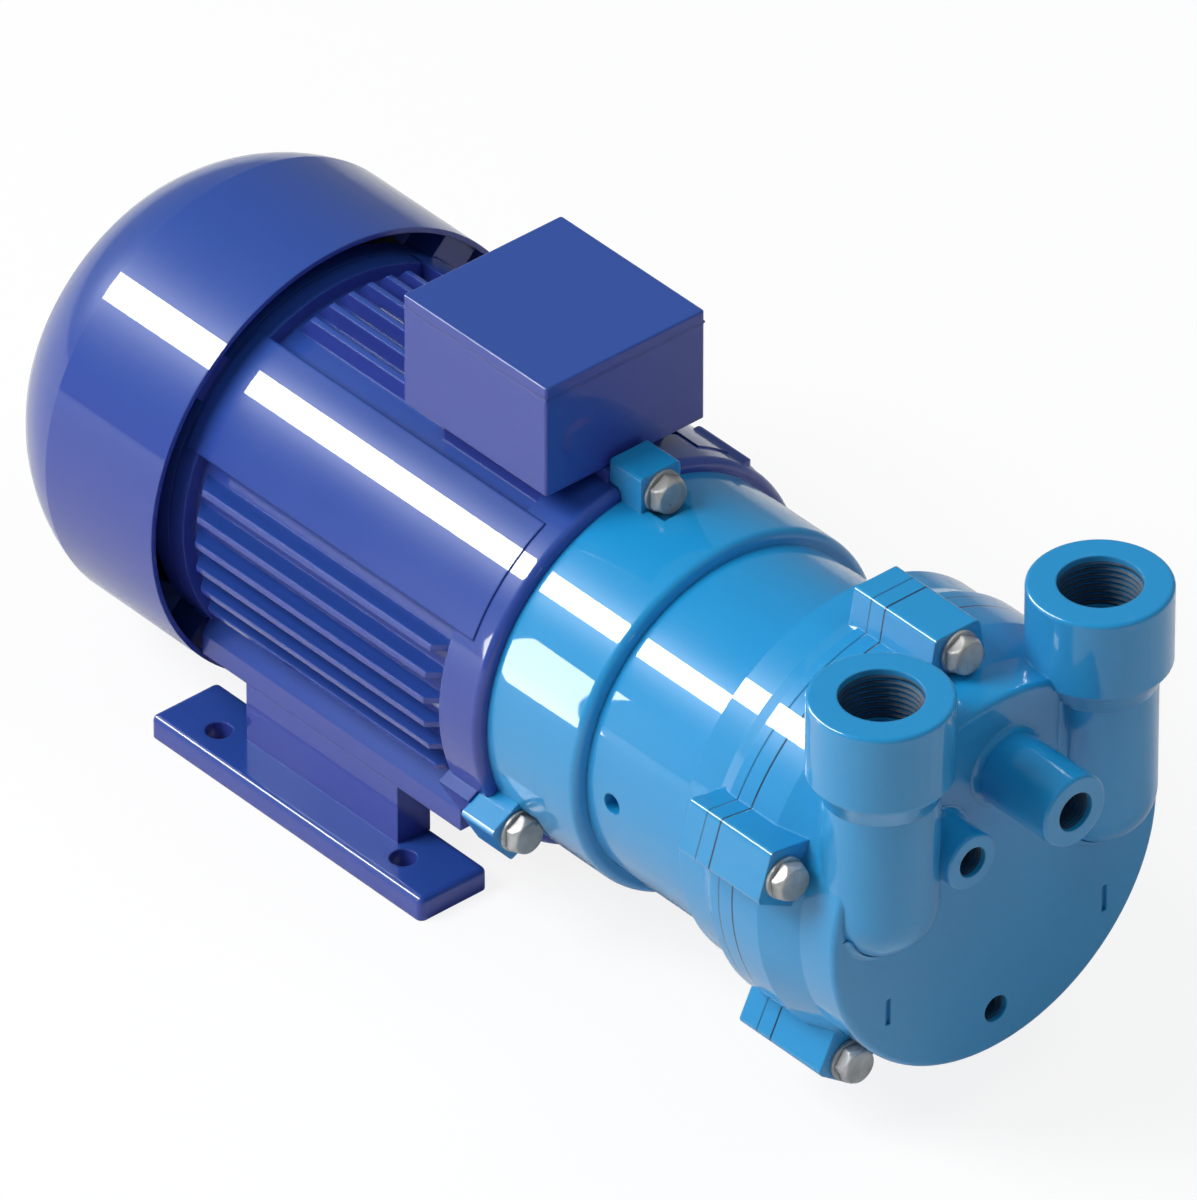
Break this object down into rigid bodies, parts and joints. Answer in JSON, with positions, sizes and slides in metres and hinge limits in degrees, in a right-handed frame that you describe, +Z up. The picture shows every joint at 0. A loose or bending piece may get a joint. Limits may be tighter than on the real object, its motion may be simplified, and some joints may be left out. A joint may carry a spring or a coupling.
{
  "type": "liquid ring vacuum pump",
  "caption": "Close-coupled liquid ring pump with a foot-mounted finned motor, a fan cowl and two upright threaded ports on the front cover.",
  "frame": {"origin": "centre of the four foot bolt holes, on the plane the feet stand on", "axes": "+X along the shaft from the fan towards the pump cover, +Z up, the suction port on the -Y side"},
  "size_m": [0.475, 0.1804, 0.216],
  "materials": {
    "motor_paint": "gloss enamel",
    "pump_paint": "gloss enamel",
    "bolt_steel": "zinc plated",
    "bearing_steel": "ground",
    "shaft_steel": "turned",
    "laminated_steel": "stacked sheet",
    "winding_copper": "enamelled copper",
    "cage_aluminium": "die cast",
    "brass_parts": "plain",
    "impeller_bronze": "cast and machined",
    "gasket_rubber": "moulded",
    "fan_plastic": "moulded",
    "terminal_plastic": "moulded",
    "seal_ceramic": "lapped",
    "seal_carbon": "lapped"
  },
  "bodies": {
    "stator": {"bracket_bolts": "bolt_steel", "bracket_washers": "bolt_steel", "cable_entry_plugs": "fan_plastic", "casing_gasket": "gasket_rubber", "casing_screws": "bolt_steel", "cover_bolts": "bolt_steel", "cover_gasket": "gasket_rubber", "cover_washers": "bolt_steel", "discharge_valve_plate": "shaft_steel", "drive_bracket": "pump_paint", "end_shield_screws": "bolt_steel", "fan_cowl": "motor_paint", "foot_left": "motor_paint", "foot_right": "motor_paint", "foot_screws": "bolt_steel", "front_bearing_outer_ring": "bearing_steel", "lid_screws": "bolt_steel", "port_plate": "pump_paint", "pump_casing": "pump_paint", "pump_cover": "pump_paint", "rear_bearing_outer_ring": "bearing_steel", "rear_end_shield": "motor_paint", "seal_seat": "seal_ceramic", "stator_core": "laminated_steel", "stator_frame": "motor_paint", "stator_winding": "winding_copper", "terminal_block": "terminal_plastic", "terminal_box": "motor_paint", "terminal_box_gasket": "gasket_rubber", "terminal_box_lid": "motor_paint", "terminal_links": "brass_parts", "terminal_studs": "brass_parts", "valve_plate_screws": "bolt_steel"},
    "rotor": {"rotor_shaft": "shaft_steel", "rotor_core": "laminated_steel", "rotor_cage_rings": "cage_aluminium", "front_bearing_inner_ring": "bearing_steel", "rear_bearing_inner_ring": "bearing_steel", "bearing_circlip": "bearing_steel", "shaft_slinger": "gasket_rubber", "cooling_fan": "fan_plastic", "fan_key": "shaft_steel", "fan_circlip": "bearing_steel", "impeller": "impeller_bronze", "impeller_key": "shaft_steel", "impeller_washer": "shaft_steel", "impeller_screw": "shaft_steel", "seal_ring": "seal_carbon", "seal_carrier": "seal_carbon"},
    "front_ball_set": {"front_bearing_balls": "bearing_steel", "front_bearing_cage": "brass_parts"},
    "rear_ball_set": {"rear_bearing_balls": "bearing_steel", "rear_bearing_cage": "brass_parts"}
  },
  "joints": [
    {"name": "rotor_spin", "type": "hinge", "parent": "stator", "child": "rotor", "pos_m": [0.1085, 0, 0.09], "axis": [1, 0, 0], "continuous": true},
    {"name": "front_ball_spin", "type": "hinge", "parent": "stator", "child": "front_ball_set", "pos_m": [0.1045, 0, 0.09], "axis": [1, 0, 0], "continuous": true},
    {"name": "rear_ball_spin", "type": "hinge", "parent": "stator", "child": "rear_ball_set", "pos_m": [-0.072, 0, 0.09], "axis": [1, 0, 0], "continuous": true}
  ],
  "couplings": [
    {"joint": "front_ball_spin", "follows": "rotor_spin", "ratio": 0.39674},
    {"joint": "rear_ball_spin", "follows": "rotor_spin", "ratio": 0.3974}
  ]
}
